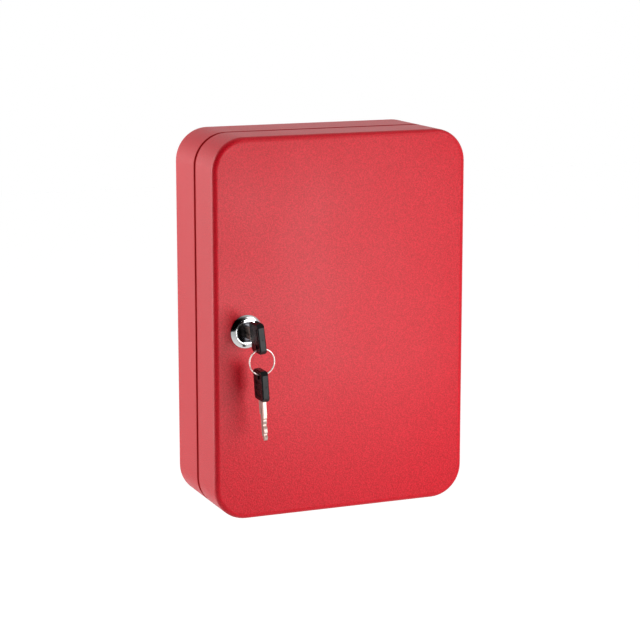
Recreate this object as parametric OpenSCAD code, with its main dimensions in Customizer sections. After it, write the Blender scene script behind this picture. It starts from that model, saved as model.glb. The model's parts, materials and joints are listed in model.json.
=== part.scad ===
// Slim wall-mounted steel key cabinet: a casing, a tray-shaped door on a piano hinge,
// a cam lock, and a pair of folding keys on a split ring.
// X runs to the right seen from the front, +Y into the wall, +Z up.
// The origin is the centre of the four wall holes, on the wall face.

/* [Cabinet] */
// Overall width
cab_w = 180; // [160:1:260]
// Overall height
cab_h = 254; // [240:1:360]
// Depth of the casing, from the wall to its rim
casing_depth = 38.7; // [32:0.1:70]
// Depth of the door, from its rim to its front face
door_depth = 34.3; // [30:0.1:50]
// Open seam between the two rims
seam_gap = 2; // [1.4:0.1:3]
// Radius of the outline's four corners
corner_r = 22; // [14:1:26]
// Thickness of the steel sheet
sheet = 1; // [0.8:0.1:1.4]
// Outside radius of the fold round the door's front face
door_fold_r = 3.5; // [2.5:0.1:5]
// Outside radius of the fold round the casing's back
casing_fold_r = 2; // [1.6:0.1:4]

/* [Wall holes] */
// Diameter of each wall hole
wall_hole_d = 6.5; // [4:0.1:8]
// Distance from each side to the holes
wall_hole_side = 30; // [28:1:40]
// Distance from the top and the bottom to the holes
wall_hole_end = 25; // [23:1:28]

/* [Rim frame] */
// Thickness of the strip that the door closes over
rim_t = 0.8; // [0.6:0.1:1.2]
// Side clearance from the strip to the door's walls
rim_clear = 0.8; // [0.6:0.1:1.2]
// How far the strip laps the inside of the casing
rim_lap = 8; // [5:0.5:14]
// How far the strip reaches into the door
rim_reach = 5; // [3:0.5:7]

/* [Hinge] */
// Distance from the cabinet's top and bottom to the hinge's ends
hinge_end = 28; // [27:1:50]
// Number of knuckles, an odd number
hinge_knuckles = 11; // [5:2:15]
// Thickness of each hinge leaf
leaf_t = 0.8; // [0.6:0.1:1]
// Width of each hinge leaf, from the pin's axis
leaf_w = 11; // [8:0.5:14]
// Radius of the hinge pin
hinge_pin_r = 1.1; // [0.8:0.1:1.4]

/* [Lock] */
// Distance from the cabinet's left edge to the lock's axis
lock_inset = 22.4; // [21.5:0.1:30]
// Height of the lock's axis above the cabinet's middle
lock_z = 0; // [-6:0.5:6]
// Radius of the lock's flange
flange_r = 11.15; // [10.5:0.05:13]
// How far the domed flange stands out of the door
flange_t = 2.3; // [2:0.1:3]
// Thickness of the flange at its rim
flange_rim_t = 0.7; // [0.4:0.1:1.2]
// Radius of the lock's threaded barrel
barrel_r = 9.5; // [8.8:0.1:10]
// Length of the barrel behind the door's front face
barrel_len = 25; // [23:0.5:25.5]
// Distance across the barrel's two flats
barrel_flats = 16.6; // [15.6:0.1:17.6]
// Radius of the plug
plug_r = 7; // [6.2:0.1:7.4]
// How far the plug's face stands out of the door
plug_proud = 2; // [1.5:0.1:3]
// Depth of the dish in the plug's face
dish_depth = 0.5; // [0.3:0.1:0.8]
// Thickness of the cam
cam_t = 2; // [1.5:0.1:3]
// Gap from the locked cam's tip to the strike bracket's web
cam_tip_gap = 0.8; // [0.5:0.1:2]
// Width of the cam's arm
cam_w = 13; // [10:0.5:15]
// Thickness of the stop washer
washer_t = 1; // [0.8:0.1:1.5]
// Thickness of the nut behind the door
lock_nut_t = 4; // [3:0.5:6]
// Size of that nut across its flats
lock_nut_af = 23; // [22:0.5:25]
// Thickness of the strike bracket
strike_t = 1.2; // [1:0.1:2]
// Length of the strike bracket up the casing
strike_len = 24; // [18:1:40]
// How far the plug and its key lean from upright at rest
key_lean = 6.5; // [0:0.5:15]
// How far the hanging key leans
key_2_lean = 3.5; // [0:0.5:5]

/* [Keys] */
// Length of a key's head
head_len = 20.4; // [20:0.1:24]
// Width of a key's head
head_w = 16; // [15:0.5:18]
// Thickness of a key's head
head_t = 4.8; // [4.4:0.1:5.4]
// Distance from the fold pivot to the head's blade end
head_nose = 10.2; // [9:0.1:11]
// Distance from the ring hole's centre to the head's other end
ring_hole_edge = 4; // [3.4:0.1:4.5]
// Distance from the head's closed edge to the ring hole's centre
ring_hole_side = 5.6; // [4.5:0.1:8]
// Radius of the ring hole
ring_hole_r = 2; // [1.9:0.1:2.3]
// Thickness of the blade
blade_t = 2.2; // [1.8:0.1:2.4]
// Width of the blade's shank
shank_w = 7.8; // [7:0.1:8.4]
// Distance from the fold pivot to the shank's shoulder
shank_len = 19.5; // [17:0.1:21]
// Step from the shank's front edge in to the cut blade's
cut_step = 0.5; // [0.2:0.1:1]
// Width of the cut blade
cut_w = 5.2; // [4.8:0.1:5.8]
// Length of the cut blade
cut_len = 17.5; // [14:0.1:19]
// Radius of the fold pivot's pin
pivot_r = 1; // [0.8:0.1:1.4]

/* [Ring] */
// Radius of the ring at the middle of its wire
ring_r = 8.6; // [8.2:0.1:11]
// Radius of the ring's wire
wire_r = 0.5; // [0.4:0.05:0.55]

/* [Hook strips] */
// Distance from the cabinet's sides to the ends of the casing's strips
strip_side = 20; // [14:1:40]
// Distance from the cabinet's sides to the ends of the door's strips
door_strip_side = 26; // [23:1:40]
// Height of a strip
strip_h = 14; // [12:0.5:15]
// Number of hooks on a strip
hook_count = 6; // [3:1:8]
// Height of the strip's face off the panel behind it
strip_off = 4; // [3:0.5:5]
// Reach of a hook from its strip
hook_reach = 9; // [6:0.5:10]
// Height of a hook's lip
hook_lip = 5; // [3:0.5:6]
// Distance from the cabinet's top and bottom to the middle of the end strips
strip_end = 43; // [41:1:50]

/* [Hidden] */
$fn = 72;

fit = 0.05;       // running clearance of a shaft in its bore
seat = 0.02;      // clearance of a pressed or welded face
sheet_metal_t = 1; // gauge of the strips' steel
over = 1;         // how far a cut runs past the face it opens

red = [0.78, 0.08, 0.12];
zinc = [0.72, 0.73, 0.75];
chrome = [0.85, 0.86, 0.88];
nickel = [0.80, 0.79, 0.76];
black = [0.10, 0.10, 0.11];

total_depth = casing_depth + seam_gap + door_depth;
hinge_len = cab_h - 2 * hinge_end;
strip_pitch = (cab_h - 2 * strip_end) / 3;
front_y = -total_depth;
casing_rim_y = -casing_depth;
door_rim_y = casing_rim_y - seam_gap;

knuckle_r = hinge_pin_r + fit + leaf_t;
hinge_x = cab_w / 2 - sheet - leaf_t + knuckle_r;
hinge_y = casing_rim_y - seam_gap / 2;
knuckle_gap = 0.3;
knuckle_pitch = hinge_len / hinge_knuckles;

lock_x = lock_inset - cab_w / 2;
barrel_end_y = front_y + barrel_len;
washer_y = barrel_end_y + fit;
cam_y = washer_y + washer_t;
cam_nut_t = 3;
cam_nut_af = 11;
tail_half = 3.5;   // half the side of the plug's square tail
tail_y = cam_y + cam_t + cam_nut_t + 0.6;
dome_land = 0.5;   // flat ring inside the flange's dome
keyway_w = blade_t + 0.4;
keyway_gap = 0.25; // from the cut blade's edges to the keyway
cut_edge = cut_step - shank_w / 2;
cut_mid = cut_edge + cut_w / 2;
keyway_depth = cut_len + 1;

strike_gap = 0.5;  // from the strike's lip to the cam behind it
strike_x = cab_w / 2 - sheet - rim_clear - rim_t - seat;
cam_reach = lock_x + strike_x - strike_t - cam_tip_gap;
strike_lip_y = cam_y - strike_gap - strike_t;
strike_lip_w = 9;
dome_r = ((flange_r - plug_r - dome_land) ^ 2 + (flange_t - flange_rim_t) ^ 2)
    / (2 * (flange_t - flange_rim_t));

pivot_y = front_y - plug_proud + dish_depth - shank_len;
bevel = 0.7;
slot_w = blade_t + 0.3;
pivot_len = head_t - 1.2;
slot_r = shank_w / 2 + 0.4;
head_tail = head_len - head_nose;
tip_r = 1.6;
ring_hole_z = head_tail - ring_hole_edge;
ring_hole_y = ring_hole_side - head_w / 2;

// The ring's wire lies near the ring hole's lower wall in the first head, in line with
// its lean, and the second head's hole hangs on the ring's lowest point.
wire_sag = (head_t / 2) ^ 2 / (2 * ring_r);
wire_drop = ring_hole_r - wire_r - wire_sag - 2 * fit;
wire_rise = wire_drop - head_t / 2 * sin(key_2_lean);
ring_reach = ring_hole_z + wire_drop + ring_r;
ring_x = lock_x + ring_reach * sin(key_lean);
ring_y = pivot_y + ring_hole_y;
ring_z = lock_z - ring_reach * cos(key_lean);
key_2_hole_z = ring_z - ring_r - wire_rise;

// ---- Folded sheet trays -------------------------------------------------------------

// Carries a section all round the cabinet's outline. The section's x runs outwards from
// the corner's centre, and its y runs away from the tray's face.
module round_outline() {
    for (side = [0:3]) {
        across = (side % 2 == 0 ? cab_w : cab_h) / 2 - corner_r;
        along = (side % 2 == 0 ? cab_h : cab_w) / 2 - corner_r;
        rotate(90 * side) translate([across, along]) {
            rotate_extrude(angle = 90) children();
            rotate([90, 0, 0]) linear_extrude(2 * along) children();
        }
    }
}

// Edge of a tray: flat face, rolled fold and upright wall
module tray_section(depth, fold_r) {
    square([corner_r - fold_r, sheet]);
    translate([corner_r - fold_r, fold_r]) intersection() {
        difference() {
            circle(r = fold_r);
            circle(r = fold_r - sheet);
        }
        translate([0, -fold_r]) square(fold_r);
    }
    translate([corner_r - sheet, fold_r]) square([sheet, depth - fold_r]);
}

// Tray with its face down at z = 0 and its rim at z = depth
module tray(depth, fold_r) {
    panel_w = cab_w - 2 * corner_r;
    panel_h = cab_h - 2 * corner_r;
    round_outline() tray_section(depth, fold_r);
    translate([-panel_w / 2, -panel_h / 2]) cube([panel_w, panel_h, sheet]);
}

// Slot through a right-hand wall that leaves room for the hinge's knuckles
module hinge_notch() {
    half = knuckle_r + knuckle_gap;
    translate([cab_w / 2 - sheet - over, hinge_y - half, -hinge_len / 2 - knuckle_gap])
        cube([sheet + 2 * over, 2 * half, hinge_len + 2 * knuckle_gap]);
}

// Round cut along Y at a place on the cabinet
module hole_y(x, z, r, y0, y1) {
    translate([x, y1, z]) rotate([90, 0, 0]) cylinder(r = r, h = y1 - y0);
}

module casing() {
    color(red) difference() {
        rotate([90, 0, 0]) tray(casing_depth, casing_fold_r);
        for (x = [-1, 1] * (cab_w / 2 - wall_hole_side), z = [-1, 1] * (cab_h / 2 - wall_hole_end))
            hole_y(x, z, wall_hole_d / 2, -sheet - over, over);
        hinge_notch();
    }
}

module door() {
    color(red) difference() {
        translate([0, front_y, 0]) rotate([-90, 0, 0]) tray(door_depth, door_fold_r);
        on_lock(front_y - over) barrel_body(seat, sheet + 2 * over);
        hinge_notch();
    }
}

// Joggled strip: welded inside the casing's rim, then stepped in to enter the door
module rim_frame() {
    wall = corner_r - sheet - seat;
    step_y = casing_depth - rim_clear;
    front = casing_depth + seam_gap + rim_reach;
    relief = 2;
    color(red) difference() {
        rotate([90, 0, 0]) round_outline() polygon([
            [wall, casing_depth - rim_lap], [wall, step_y],
            [wall - rim_clear, step_y + rim_clear], [wall - rim_clear, front],
            [wall - rim_clear - rim_t, front], [wall - rim_clear - rim_t, step_y + rim_clear],
            [wall - rim_t, step_y], [wall - rim_t, casing_depth - rim_lap]
        ]);
        translate([cab_w / 2 - corner_r / 2, -front - over, -hinge_len / 2 - relief])
            cube([corner_r, rim_lap + front, hinge_len + 2 * relief]);
    }
}

// Angle whose lip the cam turns behind
module strike_bracket() {
    base_y = casing_rim_y + rim_lap;
    color(zinc) translate([-strike_x, 0, lock_z - strike_len / 2]) {
        translate([0, strike_lip_y, 0]) cube([strike_t, base_y - strike_lip_y, strike_len]);
        translate([0, strike_lip_y, 0]) cube([strike_lip_w, strike_t, strike_len]);
    }
}

// ---- Piano hinge --------------------------------------------------------------------

// One leaf with every other knuckle. side = 1 lies in the casing, -1 in the door.
module hinge_leaf(side, first) {
    leaf_x = cab_w / 2 - sheet - leaf_t;
    clear_y = knuckle_r + knuckle_gap;
    y0 = side > 0 ? hinge_y + clear_y : hinge_y - leaf_w;
    difference() {
        union() {
            translate([leaf_x, y0, -hinge_len / 2])
                cube([leaf_t - seat, leaf_w - clear_y, hinge_len]);
            for (i = [first:2:hinge_knuckles - 1])
                translate([0, 0, -hinge_len / 2 + i * knuckle_pitch + knuckle_gap / 2]) {
                    translate([hinge_x, hinge_y, 0])
                        cylinder(r = knuckle_r, h = knuckle_pitch - knuckle_gap);
                    translate([leaf_x, side > 0 ? hinge_y : hinge_y - clear_y, 0])
                        cube([leaf_t - seat, clear_y, knuckle_pitch - knuckle_gap]);
                }
        }
        translate([hinge_x, hinge_y, -hinge_len / 2 - over])
            cylinder(r = hinge_pin_r + fit, h = hinge_len + 2 * over);
    }
}

module hinge_leaf_casing() { color(red) hinge_leaf(1, 0); }

module hinge_leaf_door() { color(red) hinge_leaf(-1, 1); }

module hinge_pin() {
    color(zinc) translate([hinge_x, hinge_y, -hinge_len / 2])
        cylinder(r = hinge_pin_r, h = hinge_len);
}

// ---- Hook strips --------------------------------------------------------------------

// Strip on two cranked feet, with hooks bent up out of it. It stands on y = 0 and
// faces -Y.
module hook_strip(len) {
    t = sheet_metal_t;
    foot = 8;
    hook_w = 4;
    window_margin = 2.5;
    window_h = strip_h - 2 * window_margin;
    pitch = (len - 2 * foot) / hook_count;
    face_y = -strip_off - t;
    color(red) {
        difference() {
            translate([-len / 2 + foot, face_y, -strip_h / 2])
                cube([len - 2 * foot, t, strip_h]);
            for (i = [0:hook_count - 1])
                translate([(i + 0.5) * pitch - len / 2 + foot - hook_w / 2 - 0.4,
                           face_y - over, -window_h / 2 + 1])
                    cube([hook_w + 0.8, t + 2 * over, window_h - 1]);
        }
        for (s = [-1, 1]) {
            translate([s * (len / 2 - foot / 2) - foot / 2, -t, -strip_h / 2])
                cube([foot, t, strip_h]);
            translate([s * (len / 2 - foot + t / 2) - t / 2, face_y, -strip_h / 2])
                cube([t, strip_off + t, strip_h]);
        }
        for (i = [0:hook_count - 1])
            translate([(i + 0.5) * pitch - len / 2 + foot - hook_w / 2, face_y, 0])
                hook(hook_w, t, -window_h / 2 + 1);
    }
}

// Flat hook rooted in the bottom edge of its window
module hook(w, t, z0) {
    translate([0, -hook_reach, z0 - t]) cube([w, hook_reach + t, t]);
    translate([0, -hook_reach, z0 - t]) cube([w, t, hook_lip + t]);
}

// Strips are numbered from the top, evenly spaced
function strip_z(number) = cab_h / 2 - strip_end - (number - 1) * strip_pitch;

module casing_strip(number) {
    translate([0, -sheet - seat, strip_z(number)]) hook_strip(cab_w - 2 * strip_side);
}

module door_strip(number) {
    translate([0, front_y + sheet + seat, strip_z(number)]) rotate(180)
        hook_strip(cab_w - 2 * door_strip_side);
}

// ---- Lock ---------------------------------------------------------------------------

// Barrel's cross-section with its two flats, grown by a clearance
module barrel_body(grow, len) {
    linear_extrude(len) intersection() {
        circle(r = barrel_r + grow);
        square([2 * (barrel_r + grow), barrel_flats + 2 * grow], center = true);
    }
}

// Places a piece on the lock's axis with its z along +Y, turned with the plug
module on_lock(y, lean = 0) {
    translate([lock_x, y, lock_z]) rotate([0, -lean, 0]) rotate([-90, 0, 0]) children();
}

// Half section of the flange: a domed ring round a narrow flat land
module flange_section() {
    land_r = plug_r + dome_land;
    square([land_r, flange_t]);
    intersection() {
        translate([land_r, 0]) square([flange_r - land_r, flange_t]);
        translate([land_r, dome_r]) circle(r = dome_r);
    }
}

module lock_barrel() {
    color(chrome) difference() {
        union() {
            on_lock(front_y - flange_t) rotate_extrude() flange_section();
            on_lock(front_y) barrel_body(0, barrel_len);
        }
        on_lock(front_y - flange_t - over)
            cylinder(r = plug_r + fit, h = flange_t + barrel_len + 2 * over);
    }
}

module lock_nut() {
    color(zinc) on_lock(front_y + sheet + seat) difference() {
        cylinder(d = lock_nut_af / cos(30), h = lock_nut_t, $fn = 6);
        translate([0, 0, -over]) cylinder(r = barrel_r + fit, h = lock_nut_t + 2 * over);
    }
}

// Plug with a dished face, its keyway in front and a square tail for the cam behind
module lock_plug() {
    plug_bevel = 0.4;
    dish_r = plug_r - 0.9;
    body_len = plug_proud + barrel_len;
    color(chrome) difference() {
        union() {
            on_lock(front_y - plug_proud, key_lean) rotate_extrude() polygon([
                [0, dish_depth], [dish_r - dish_depth, dish_depth], [dish_r, 0],
                [plug_r - plug_bevel, 0], [plug_r, plug_bevel],
                [plug_r, body_len], [0, body_len]
            ]);
            on_lock(barrel_end_y, key_lean) translate([-tail_half, -tail_half, -over])
                cube([2 * tail_half, 2 * tail_half, tail_y - barrel_end_y + over]);
        }
        on_lock(front_y - plug_proud - over, key_lean)
            translate([-keyway_w / 2, cut_edge - keyway_gap, 0])
                cube([keyway_w, cut_w + 2 * keyway_gap, keyway_depth + over]);
    }
}

module tail_hole(len) {
    translate([-tail_half - seat, -tail_half - seat, -over])
        cube([2 * (tail_half + seat), 2 * (tail_half + seat), len + 2 * over]);
}

// Washer with an ear that limits the plug's turn
module stop_washer() {
    ear = 2.5;
    color(zinc) on_lock(washer_y, key_lean) difference() {
        union() {
            cylinder(r = plug_r + 1, h = washer_t);
            translate([-ear, 0, 0]) cube([2 * ear, barrel_r, washer_t]);
        }
        tail_hole(washer_t);
    }
}

// Flat cam with a round end, upright but for the key's lean
module cam() {
    end_r = cam_w / 2;
    color(zinc) on_lock(cam_y, key_lean) difference() {
        union() {
            cylinder(r = end_r, h = cam_t);
            translate([-end_r, end_r - cam_reach, 0]) cube([cam_w, cam_reach - end_r, cam_t]);
            translate([0, end_r - cam_reach, 0]) cylinder(r = end_r, h = cam_t);
        }
        tail_hole(cam_t);
    }
}

module cam_nut() {
    color(zinc) on_lock(cam_y + cam_t, key_lean) difference() {
        cylinder(d = cam_nut_af / cos(30), h = cam_nut_t, $fn = 6);
        tail_hole(cam_nut_t);
    }
}

// ---- Folding keys -------------------------------------------------------------------
// A key's own frame has its origin on the fold pivot. x is its thickness, +y its open
// back edge, and +z points to the head's blade end.

module bevelled_rect(w, h) {
    x = w / 2;
    y = h / 2;
    polygon([
        [x, bevel - y], [x, y - bevel], [x - bevel, y], [bevel - x, y],
        [-x, y - bevel], [-x, bevel - y], [bevel - x, -y], [x - bevel, -y]
    ]);
}

// Outline of the head, with its four corners cut off, about the head's middle
module head_outline() {
    cut = 2.6;
    y = head_w / 2;
    z = head_len / 2;
    polygon([
        [y, cut - z], [y, z - cut], [y - cut, z], [cut - y, z],
        [-y, z - cut], [-y, cut - z], [cut - y, -z], [y - cut, -z]
    ]);
}

// Moulded head, bevelled all round, with grip windows in one face, a long groove in the
// other, a dimple in its closed edge and the blade's slot
module key_head() {
    window = [0.4, 8.4, 2.2];
    window_pitch = 4.2;
    windows_z = -3.3;
    groove = [1.4, 1.6, 13];
    groove_y = -5.5;
    groove_z = -6;
    dimple_r = 0.55;
    mid_z = head_nose - head_len / 2;
    color(black) difference() {
        translate([0, 0, mid_z]) intersection() {
            rotate([90, 0, 90]) translate([0, 0, -head_t]) linear_extrude(2 * head_t)
                head_outline();
            translate([0, 0, -head_len]) linear_extrude(2 * head_len)
                bevelled_rect(head_t, head_w);
            rotate([90, 0, 0]) translate([0, 0, -head_w]) linear_extrude(2 * head_w)
                bevelled_rect(head_t, head_len);
        }
        for (i = [0:2])
            translate([head_t / 2 - window[0], -window[1] / 2, windows_z + i * window_pitch])
                cube([2 * window[0], window[1], window[2]]);
        translate([-head_t / 2 - groove[0], groove_y - groove[1] / 2, groove_z])
            cube([2 * groove[0], groove[1], groove[2]]);
        translate([0, -head_w / 2, 0]) rotate([90, 0, 0])
            cylinder(r = dimple_r, h = 1, center = true);
        blade_slot();
        translate([-head_t, ring_hole_y, -ring_hole_z]) rotate([0, 90, 0])
            cylinder(r = ring_hole_r, h = 2 * head_t);
        translate([-pivot_len / 2 - seat, 0, 0]) rotate([0, 90, 0])
            cylinder(r = pivot_r + seat, h = pivot_len + 2 * seat);
    }
}

// Room for the blade to turn from straight to folded out of the back edge
module blade_slot() {
    translate([-slot_w / 2, 0, 0]) rotate([0, 90, 0]) cylinder(r = slot_r, h = slot_w);
    translate([-slot_w / 2, -slot_r, 0]) cube([slot_w, head_w, head_nose + over]);
    translate([-slot_w / 2, 0, -slot_r]) cube([slot_w, head_w, head_nose + slot_r + over]);
}

// Cut blade's outline: straight back edge, bitted front edge, pointed round end
module cut_outline() {
    bits = [1.0, 1.7, 0.6, 1.4];
    start = 2.2;
    pitch = (cut_len - start - tip_r - 1) / len(bits);
    flat = pitch * 0.3;
    edge = cut_edge;
    back = cut_edge + cut_w;
    polygon(concat(
        [[back, -over], [edge, -over], [edge, start]],
        [for (i = [0:len(bits) - 1]) each [
            [edge + bits[i], start + (i + 0.5) * pitch - flat / 2],
            [edge + bits[i], start + (i + 0.5) * pitch + flat / 2],
            [edge + 0.2, start + (i + 1) * pitch]
        ]],
        [[cut_mid - tip_r, cut_len - tip_r], [back, cut_len - tip_r - 1]]
    ));
}

module key_blade() {
    groove = [0.5, 1.3];
    color(nickel) difference() {
        rotate([90, 0, 90]) translate([0, 0, -blade_t / 2]) union() {
            cylinder(d = shank_w, h = blade_t);
            translate([-shank_w / 2, 0, 0]) cube([shank_w, shank_len, blade_t]);
            translate([0, shank_len, 0]) linear_extrude(blade_t) cut_outline();
            translate([cut_mid, shank_len + cut_len - tip_r, 0])
                cylinder(r = tip_r, h = blade_t);
        }
        for (side = [-1, 1])
            translate([side * blade_t / 2 - groove[0], cut_mid + 0.2, head_nose])
                cube([2 * groove[0], groove[1], shank_len + cut_len]);
        translate([-blade_t, 0, 0]) rotate([0, 90, 0])
            cylinder(r = pivot_r + fit, h = 2 * blade_t);
    }
}

module key_pivot() {
    color(nickel) translate([-pivot_len / 2, 0, 0]) rotate([0, 90, 0])
        cylinder(r = pivot_r, h = pivot_len);
}

// First key: its blade is in the plug and its head is folded down
module at_key_1() {
    translate([lock_x, pivot_y, lock_z]) rotate([0, -key_lean, 0]) children();
}

// Second key: it hangs from the ring, blade end down
module at_key_2() {
    translate([ring_x, pivot_y, key_2_hole_z]) rotate([0, -key_2_lean, 0])
        translate([0, 0, -ring_hole_z]) rotate([0, 180, 0]) children();
}

module split_ring() {
    color(zinc) translate([ring_x, ring_y, ring_z]) rotate([90, 0, 0])
        rotate_extrude() translate([ring_r, 0]) circle(r = wire_r, $fn = 24);
}

casing();
rim_frame();
strike_bracket();
hinge_leaf_casing();
hinge_pin();
casing_strip(1);  // hook_strip_1
casing_strip(2);  // hook_strip_2
casing_strip(3);  // hook_strip_3
casing_strip(4);  // hook_strip_4
door();
hinge_leaf_door();
lock_barrel();
lock_nut();
door_strip(1);  // door_hook_strip_1
door_strip(2);  // door_hook_strip_2
door_strip(3);  // door_hook_strip_3
door_strip(4);  // door_hook_strip_4
lock_plug();
stop_washer();
cam();
cam_nut();
at_key_1() rotate([-90, 0, 0]) key_blade();  // key_blade_1
at_key_1() key_head();  // key_head_1
at_key_1() key_pivot();  // key_pivot_1
split_ring();
at_key_2() key_head();  // key_head_2
at_key_2() key_pivot();  // key_pivot_2
at_key_2() key_blade();  // key_blade_2
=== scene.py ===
"""Looks of a wall-mounted key cabinet with its lock and two folding keys.

Everything is in metres in the cabinet's own frame: X to the right seen from the front,
+Y into the wall, +Z up, with the origin on the wall face.
"""
import json
import math

import bpy
from mathutils import Matrix, Vector


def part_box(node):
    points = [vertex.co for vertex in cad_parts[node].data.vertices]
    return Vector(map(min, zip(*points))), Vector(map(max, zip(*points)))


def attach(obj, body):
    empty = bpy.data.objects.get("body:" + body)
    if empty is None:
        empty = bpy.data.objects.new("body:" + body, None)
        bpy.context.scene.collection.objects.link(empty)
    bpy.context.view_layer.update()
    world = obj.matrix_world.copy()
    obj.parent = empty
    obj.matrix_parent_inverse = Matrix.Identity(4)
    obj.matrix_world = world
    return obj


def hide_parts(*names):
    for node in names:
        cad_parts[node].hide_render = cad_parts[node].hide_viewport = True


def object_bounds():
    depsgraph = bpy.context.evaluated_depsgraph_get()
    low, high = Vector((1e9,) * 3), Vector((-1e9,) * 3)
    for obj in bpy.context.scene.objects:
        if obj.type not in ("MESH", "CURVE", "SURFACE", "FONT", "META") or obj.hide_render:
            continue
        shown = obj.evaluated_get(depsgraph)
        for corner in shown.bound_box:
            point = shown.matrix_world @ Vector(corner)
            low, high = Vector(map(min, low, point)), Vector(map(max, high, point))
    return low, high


MM = 0.001


# ---- Node trees ----------------------------------------------------------------------
class Graph:
    """A node tree with short ways to add its nodes and wire them."""

    def __init__(self, tree):
        self.nodes, self.links = tree.nodes, tree.links

    def feed(self, node, inputs):
        """Set a node's inputs, each to a plain value or to the socket that feeds it."""
        for name, value in inputs.items():
            if isinstance(value, bpy.types.NodeSocket):
                self.links.new(value, node.inputs[name])
            else:
                node.inputs[name].default_value = value

    def add(self, kind, inputs=None, **settings):
        """Add a shader node, apply its settings and feed its inputs."""
        node = self.nodes.new("ShaderNode" + kind)
        for name, value in settings.items():
            setattr(node, name, value)
        self.feed(node, inputs or {})
        return node

    def maths(self, operation, first, second=0.0, clamp=False):
        """Result of one step of arithmetic on sockets or numbers."""
        node = self.add("Math", {0: first, 1: second}, operation=operation, use_clamp=clamp)
        return node.outputs[0]

    def ramp(self, value, start, end, first, last, smooth=False):
        """Run from first to last, as a value goes from start to end, and stay there."""
        inputs = {"Value": value, "From Min": start, "From Max": end,
                  "To Min": first, "To Max": last}
        shape = "SMOOTHSTEP" if smooth else "LINEAR"
        return self.add("MapRange", inputs, interpolation_type=shape).outputs["Result"]

    def mix(self, factor, first, second, data_type="RGBA"):
        """Blend of two colours, or of two numbers where data_type is FLOAT."""
        inputs = {"Factor": factor, "A": first, "B": second}
        return self.add("Mix", inputs, data_type=data_type).outputs["Result"]


def rgba(colour):
    """Opaque colour from its red, green and blue."""
    return (*colour, 1)


# ---- Stage: camera, lamps, surroundings and floor ------------------------------------
CAMERA_AT = Vector((-0.5367, -1.3346, 0.2691))
CAMERA_YAW = math.radians(22.47)      # turned to the right of straight at the door
CAMERA_PITCH = math.radians(11.01)    # tipped down
CAMERA_LENS_MM = 118.1
CAMERA_SENSOR_MM = 36
CAMERA_FAR = 50.0                     # beyond the floor's far edge

LAMPS_AIM = Vector((0, -0.04, 0))     # about the middle of the cabinet
# Azimuth 0 is in front of the door and 90 to its right. The size is width and height.
SOFTBOXES = {
    "right_softbox": {"azimuth": 38, "elevation": 27, "distance": 1.6,
                      "size": (0.9, 0.9), "watts": 8.3},
    "near_softbox": {"azimuth": 16, "elevation": -5, "distance": 0.55,
                     "size": (0.26, 0.26), "watts": 1.65},
    "left_softbox": {"azimuth": -124, "elevation": 8, "distance": 1.4,
                     "size": (1.0, 1.4), "watts": 18.5},
}

UP = (0, 0, 1)
SKY_COLOUR = (0.8, 0.8, 0.8)
SKY_DARK_SIDE = (-0.66, -0.75, 0.0)   # towards the unlit side, to the left of the camera
SKY_DARK_FADE = (-0.15, 0.65)         # cosines of the angle to it where the light fades out
SKY_LEVEL = 0.58                      # strength at eye level
SKY_TOP = 0.72                        # strength from SKY_TOP_FROM upwards
SKY_TOP_FROM = 0.5                    # sine of the elevation
MIRRORED_TOP = 0.20                   # how white metal shows the sky overhead
MIRRORED_FADE = (-0.05, 0.35)         # sines of the elevation where it falls to that

STAGE_SPAN = 12.0
FLOOR_DROP = 0.60                     # from the cabinet's lowest edge to the floor
FLOOR_COLOUR = (0.8, 0.8, 0.8)
FLOOR_LIFT = 0.70                     # brings the lit floor to white and leaves its shadow
MIRRORED_FLOOR = 0.45                 # share of that lift in metal, which sees its near part


def add_camera():
    """Camera at the photograph's viewing angle."""
    data = bpy.data.cameras.new("camera")
    data.lens = CAMERA_LENS_MM
    data.sensor_width = CAMERA_SENSOR_MM
    data.clip_end = CAMERA_FAR
    camera = bpy.data.objects.new("camera", data)
    camera.matrix_world = (Matrix.Translation(CAMERA_AT)
                           @ Matrix.Rotation(-CAMERA_YAW, 4, "Z")
                           @ Matrix.Rotation(math.radians(90) - CAMERA_PITCH, 4, "X"))
    bpy.context.scene.collection.objects.link(camera)
    bpy.context.scene.camera = camera


def add_softbox(name, azimuth, elevation, distance, size, watts):
    """Area lamp that faces the cabinet and isn't seen by the camera itself."""
    a, e = math.radians(azimuth), math.radians(elevation)
    away = Vector((math.sin(a) * math.cos(e), -math.cos(a) * math.cos(e), math.sin(e)))
    data = bpy.data.lights.new(name, "AREA")
    data.shape = "RECTANGLE"
    data.size, data.size_y = size
    data.energy = watts
    lamp = bpy.data.objects.new(name, data)
    lamp.matrix_world = (Matrix.Translation(away * distance + LAMPS_AIM)
                         @ away.to_track_quat("Z", "Y").to_matrix().to_4x4())
    lamp.visible_camera = False
    bpy.context.scene.collection.objects.link(lamp)


def seen_or_mirrored(graph, mirrored):
    """1 to the camera, mirrored in metal and glass, and 0 for light that falls on things."""
    path = graph.add("LightPath").outputs
    either = graph.maths("ADD", path["Is Glossy Ray"], path["Is Transmission Ray"])
    shown = graph.maths("MULTIPLY", either, mirrored)
    return graph.maths("ADD", path["Is Camera Ray"], shown, clamp=True)


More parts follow.
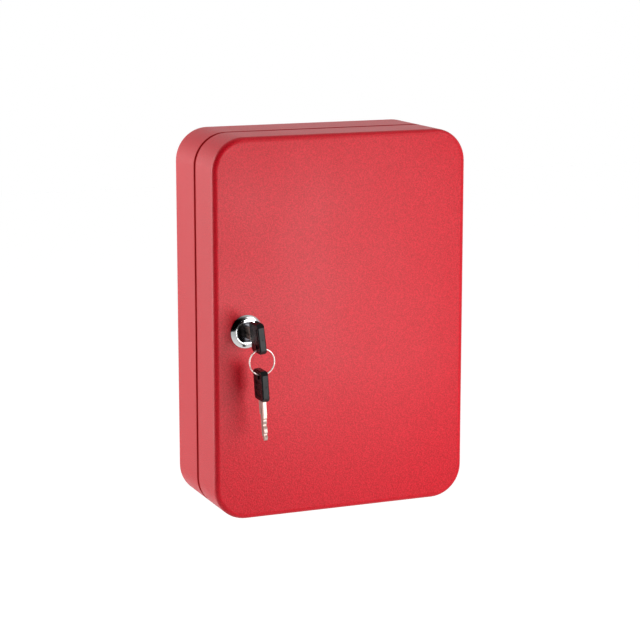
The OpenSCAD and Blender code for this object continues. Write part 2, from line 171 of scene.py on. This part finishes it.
def add_sky():
    """White backdrop that lights the cabinet from all but the dark side."""
    world = bpy.data.worlds.new("studio")
    bpy.context.scene.world = world
    world.use_nodes = True
    world.node_tree.nodes.clear()
    graph = Graph(world.node_tree)
    direction = graph.add("TexCoord").outputs["Generated"]

    def along(axis, start, end, first, last):
        """Level that runs from first to last as the direction turns to an axis."""
        cosine = graph.add("VectorMath", {0: direction, 1: Vector(axis).normalized()},
                           operation="DOT_PRODUCT").outputs["Value"]
        return graph.ramp(cosine, start, end, first, last, smooth=True)

    lit = along(SKY_DARK_SIDE, *SKY_DARK_FADE, 1.0, 0.0)
    upward = along(UP, 0.0, SKY_TOP_FROM, SKY_LEVEL, SKY_TOP)
    mirrored = along(UP, *MIRRORED_FADE, 1.0, MIRRORED_TOP)
    light = graph.add("Background", {"Color": rgba(SKY_COLOUR),
                                     "Strength": graph.maths("MULTIPLY", lit, upward)})
    white = graph.add("Emission", {"Color": rgba((1, 1, 1)), "Strength": 1.0})
    shown = seen_or_mirrored(graph, graph.maths("MULTIPLY", lit, mirrored))
    both = graph.add("MixShader", {"Fac": shown, 1: light.outputs[0], 2: white.outputs[0]})
    graph.add("OutputWorld", {"Surface": both.outputs[0]})


def add_floor(low_z):
    """Matte floor with a white lift added, far enough down to leave the cabinet hanging."""
    data = bpy.data.meshes.new("floor")
    half, z = STAGE_SPAN / 2, low_z - FLOOR_DROP
    data.from_pydata([(-half, -half, z), (half, -half, z), (half, half, z), (-half, half, z)],
                     [], [(0, 1, 2, 3)])
    floor = bpy.data.objects.new("floor", data)
    bpy.context.scene.collection.objects.link(floor)
    mat = bpy.data.materials.new("floor_white")
    mat.use_nodes = True
    mat.node_tree.nodes.clear()
    graph = Graph(mat.node_tree)
    matte = graph.add("BsdfDiffuse", {"Color": rgba(FLOOR_COLOUR)})
    lift = graph.add("Emission", {"Color": rgba([FLOOR_LIFT] * 3),
                                  "Strength": seen_or_mirrored(graph, MIRRORED_FLOOR)})
    both = graph.add("AddShader", {0: matte.outputs[0], 1: lift.outputs[0]})
    graph.add("OutputMaterial", {"Surface": both.outputs[0]})
    data.materials.append(mat)


# ---- Materials -----------------------------------------------------------------------
NOISE_SPAN = (0.3, 0.7)               # most of a noise texture's values lie between these

COAT_HOLLOW = (0.48, 0.001, 0.007)    # colour between the grains
COAT_TOP = (0.76, 0.008, 0.026)       # colour on top of them
COAT_ROUGHNESS = (0.36, 0.42)
COAT_SPECULAR = 0.28
COAT_CLOUDS_SCALE = 14                # noise that varies the roughness
COAT_GRAIN_SCALE = 1500
COAT_GRAIN_DEPTH = 0.07 * MM
COAT_PEEL_SCALE = 900                 # orange peel under the grain
COAT_PEEL_DEPTH = 0.09 * MM

# Painted shade: a darker, rougher band of coat along the seam stands in for the shadow in the
# gap between door and casing.
SEAM_Y = -39.7 * MM                   # middle of the seam between door and casing
SEAM_SHADE_REACH = (1.6 * MM, 2.8 * MM)     # from there, where the painted seam shade thins out
SEAM_SHADE_COLOUR = (0.42, 0.001, 0.005)
SEAM_SHADE_ROUGHNESS = 0.95

METAL_HAZE_SCALE = 120                # noise that varies the colour
METAL_DARKEST = 0.9                   # share of the colour in the haze's dark parts
METAL_ROUGHNESS_SPAN = (0.8, 1.25)    # shares of the roughness over the polishing marks
METAL_MARKS_DETAIL = 3.0
METALS = {
    "zinc_plate": {"colour": (0.46, 0.47, 0.49), "roughness": 0.48,
                   "mark_scale": 900, "mark_depth": 0.010 * MM},
    "chrome": {"colour": (0.72, 0.72, 0.72), "roughness": 0.12,
               "mark_scale": 1500, "mark_depth": 0.004 * MM},
    # Near-black plug face: its dark colour is a painted reflection of the black key head in the
    # chrome.
    "plug_painted_dark": {"colour": (0.045, 0.045, 0.05), "roughness": 0.16,
                    "mark_scale": 1500, "mark_depth": 0.004 * MM},
    # Pinkish tint: painted reflection of the red cabinet on the steel wire.
    "ring_wire": {"colour": (0.60, 0.48, 0.46), "roughness": 0.30,
                  "mark_scale": 1200, "mark_depth": 0.005 * MM},
    # Partly nickel's own warm tone, partly a painted reflection of the red cabinet in the key
    # blades.
    "nickel": {"colour": (0.58, 0.48, 0.43), "roughness": 0.44,
               "mark_scale": 1400, "mark_depth": 0.008 * MM},
}

PLASTIC_DARK = (0.004, 0.004, 0.005)
PLASTIC_LIGHT = (0.008, 0.008, 0.009)
PLASTIC_ROUGHNESS = (0.22, 0.30)
PLASTIC_SPECULAR = 0.14
PLASTIC_CLOUDS_SCALE = 160            # noise that varies colour and roughness
PLASTIC_GRAIN_SCALE = 3500
PLASTIC_GRAIN_DEPTH = 0.01 * MM

# The lock plug's near-black colour is a painted dark reflection.
PIECE_MATERIALS = {"lock_plug": "plug_painted_dark"}   # nodes that don't look like their slot


class Material(Graph):
    """A material's node tree, with noise in the object's own coordinates."""

    def __init__(self, name):
        self.material = bpy.data.materials.new(name)
        self.material.use_nodes = True
        super().__init__(self.material.node_tree)
        self.place = self.add("TexCoord").outputs["Object"]

    def noise(self, scale, detail=2.0):
        """Noise value at the place that is shaded."""
        inputs = {"Vector": self.place, "Scale": scale, "Detail": detail}
        return self.add("TexNoise", inputs).outputs["Fac"]

    def spread(self, noise, low, high):
        """A noise value brought onto the range from low to high."""
        return self.ramp(noise, *NOISE_SPAN, low, high)

    def bump(self, height, distance, under=None):
        """Normal that follows a height, on top of another bump where one is given."""
        inputs = {"Height": height, "Distance": distance}
        if under is not None:
            inputs["Normal"] = under
        return self.add("Bump", inputs).outputs["Normal"]

    def surface(self, inputs):
        """Feed the surface shader and return the finished material."""
        self.feed(self.nodes["Principled BSDF"], inputs)
        return self.material


def powder_coat():
    """Red satin coat with a fine grain, and painted shade that darkens it in the seam."""
    mat = Material("red_powder_coat")
    grain = mat.noise(COAT_GRAIN_SCALE)
    unshaded = mat.mix(mat.spread(grain, 0.0, 1.0), rgba(COAT_HOLLOW), rgba(COAT_TOP))
    # painted shade: the coat darkens and roughens towards the seam, where the gap's shadow
    # falls
    y = mat.add("SeparateXYZ", {0: mat.place}).outputs["Y"]
    from_seam = mat.maths("ABSOLUTE", mat.maths("SUBTRACT", y, SEAM_Y))
    seam_shade = mat.ramp(from_seam, *SEAM_SHADE_REACH, 1.0, 0.0)
    roughness = mat.spread(mat.noise(COAT_CLOUDS_SCALE), *COAT_ROUGHNESS)
    peel = mat.bump(mat.noise(COAT_PEEL_SCALE), COAT_PEEL_DEPTH)
    return mat.surface({
        "Base Color": mat.mix(seam_shade, unshaded, rgba(SEAM_SHADE_COLOUR)),
        "Roughness": mat.mix(seam_shade, roughness, SEAM_SHADE_ROUGHNESS, "FLOAT"),
        "Normal": mat.bump(grain, COAT_GRAIN_DEPTH, peel),
        "Specular IOR Level": COAT_SPECULAR,
    })


def plated_metal(name, colour, roughness, mark_scale, mark_depth):
    """Plated steel with fine polishing marks."""
    mat = Material(name)
    dark = tuple(c * METAL_DARKEST for c in colour)
    polish = mat.noise(mark_scale, METAL_MARKS_DETAIL)
    haze = mat.noise(METAL_HAZE_SCALE)
    smoothest, roughest = (roughness * share for share in METAL_ROUGHNESS_SPAN)
    return mat.surface({
        "Base Color": mat.mix(haze, rgba(dark), rgba(colour)),
        "Roughness": mat.spread(polish, smoothest, roughest),
        "Normal": mat.bump(polish, mark_depth),
        "Metallic": 1.0,
    })


def moulded_plastic():
    """Black satin plastic of the key heads."""
    mat = Material("black_plastic")
    clouds = mat.noise(PLASTIC_CLOUDS_SCALE)
    return mat.surface({
        "Base Color": mat.mix(clouds, rgba(PLASTIC_DARK), rgba(PLASTIC_LIGHT)),
        "Roughness": mat.spread(clouds, *PLASTIC_ROUGHNESS),
        "Normal": mat.bump(mat.noise(PLASTIC_GRAIN_SCALE), PLASTIC_GRAIN_DEPTH),
        "Specular IOR Level": PLASTIC_SPECULAR,
    })


def make_materials():
    """All materials by name."""
    materials = {"red_powder_coat": powder_coat()}
    materials.update((name, plated_metal(name, **look)) for name, look in METALS.items())
    materials["black_plastic"] = moulded_plastic()
    return materials


def dress_frame(frame, materials):
    """Give every CAD node the material of its slot."""
    slots = {s["node"]: s["material_slot"] for s in frame["record"]["subparts"]}
    for name, obj in frame["nodes"].items():
        obj.data.materials.clear()
        obj.data.materials.append(materials[PIECE_MATERIALS.get(name, slots[name])])


# ---- Pieces finer than the CAD model's -----------------------------------------------
RING_TURNS = (0.05, 1.95)             # where the wire starts and ends, in turns
RING_CROSSING = 0.04                  # half of the stretch where it changes sides, in turns
RING_START = math.radians(205)
RING_STEPS = 160
CAD_WIRE_R = 0.5 * MM                 # of the closed ring that the two turns replace
WIRE_ACROSS = 0.42 * MM               # half of the wire's width in the ring's plane
WIRE_ALONG = 0.24 * MM                # half of its thickness along the ring's axis
WIRE_SIDES = 12

BARREL_R = 9.5 * MM
THREAD_PITCH = 1.0 * MM
THREAD_DEPTH = 0.3 * MM
THREAD_SUNK = 0.2 * MM                # how far its root lies inside the barrel
THREAD_HALF_ROOT = 0.45 * MM
THREAD_HALF_CREST = 0.06 * MM
THREAD_HALF_ARC = math.radians(60)    # from the middle of a round side to a flat
THREAD_HALF_STEPS = 10                # in that arc
THREAD_FROM_FACE = 8.0 * MM           # from the lock's front to the first thread


def swept(runs, centre, profile):
    """Vertices and faces of a closed profile swept round an axis along Y.

    A run is a list of (angle, radius, place along Y), and a profile one of offsets
    (outward, along Y).
    """
    verts, faces = [], []
    n = len(profile)
    for run in runs:
        first = len(verts)
        for angle, radius, along in run:
            for out, aside in profile:
                r = radius + out
                verts.append((centre[0] + r * math.cos(angle), centre[1] + along + aside,
                              centre[2] + r * math.sin(angle)))
        for i in range(len(run) - 1):
            a, b = first + i * n, first + (i + 1) * n
            faces += [(a + k, a + (k + 1) % n, b + (k + 1) % n, b + k) for k in range(n)]
        last = first + (len(run) - 1) * n
        faces += [tuple(range(first + n - 1, first - 1, -1)), tuple(range(last, last + n))]
    return verts, faces


def add_piece(name, shape, body, material, smooth=True):
    """Mesh that rides on a body. Where smooth, its sides are shaded round and its ends flat."""
    data = bpy.data.meshes.new(name)
    data.from_pydata(shape[0], [], shape[1])
    data.materials.append(material)
    for face in data.polygons:
        face.use_smooth = smooth and len(face.vertices) == 4
    piece = bpy.data.objects.new(name, data)
    bpy.context.scene.collection.objects.link(piece)
    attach(piece, body)
    return piece


def step_up(x, low, high):
    """Smooth step from 0 at low to 1 at high."""
    t = min(1.0, max(0.0, (x - low) / (high - low)))
    return t * t * (3 - 2 * t)


def add_split_ring(materials):
    """Flat spring wire in two touching turns, in place of the CAD model's closed ring."""
    low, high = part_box("split_ring")
    centre = [(a + b) / 2 for a, b in zip(low, high)]
    radius = (high[0] - low[0]) / 2 - CAD_WIRE_R
    start, end = RING_TURNS
    run = []
    for i in range(RING_STEPS + 1):
        turn = start + (end - start) * i / RING_STEPS
        side = step_up(turn, 1 - RING_CROSSING, 1 + RING_CROSSING) - 0.5
        run.append((RING_START + turn * math.tau, radius, 2 * WIRE_ALONG * side))
    angles = [k * math.tau / WIRE_SIDES for k in range(WIRE_SIDES)]
    oval = [(WIRE_ACROSS * math.cos(a), WIRE_ALONG * math.sin(a)) for a in angles]
    ring = add_piece("split_ring_turns", swept([run], centre, oval), "ring",
                     materials["ring_wire"])
    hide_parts("split_ring")


def add_barrel_thread(materials):
    """Thread on the barrel's two round sides, between its nut and its inner end."""
    low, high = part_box("lock_barrel")
    centre = ((low[0] + high[0]) / 2, 0.0, (low[2] + high[2]) / 2)
    start, end = low[1] + THREAD_FROM_FACE, high[1] - THREAD_PITCH
    steps = range(-THREAD_HALF_STEPS, THREAD_HALF_STEPS + 1)
    runs = []
    for turn in range(int((end - start) / THREAD_PITCH)):
        for middle in (0.0, math.pi):
            angles = [middle + THREAD_HALF_ARC * k / THREAD_HALF_STEPS for k in steps]
            runs.append([(a, BARREL_R, start + THREAD_PITCH * (turn + a / math.tau))
                         for a in angles])
    ridge = [(-THREAD_SUNK, -THREAD_HALF_ROOT), (THREAD_DEPTH, -THREAD_HALF_CREST),
             (THREAD_DEPTH, THREAD_HALF_CREST), (-THREAD_SUNK, THREAD_HALF_ROOT)]
    add_piece("barrel_thread", swept(runs, centre, ridge), "door",
              materials["zinc_plate"], smooth=False)


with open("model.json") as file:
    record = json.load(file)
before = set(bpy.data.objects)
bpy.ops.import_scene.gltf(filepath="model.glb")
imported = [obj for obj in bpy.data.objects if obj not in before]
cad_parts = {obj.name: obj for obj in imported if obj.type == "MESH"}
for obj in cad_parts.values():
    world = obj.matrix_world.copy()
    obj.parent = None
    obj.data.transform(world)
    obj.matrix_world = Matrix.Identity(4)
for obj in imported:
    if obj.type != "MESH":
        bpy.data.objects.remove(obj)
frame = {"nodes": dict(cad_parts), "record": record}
cad_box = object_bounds()
bpy.context.scene.view_settings.view_transform = "Standard"
add_camera()
for name, lamp in SOFTBOXES.items():
    add_softbox(name, **lamp)
add_sky()
add_floor(cad_box[0][2])
materials = make_materials()
dress_frame(frame, materials)
add_split_ring(materials)
add_barrel_thread(materials)
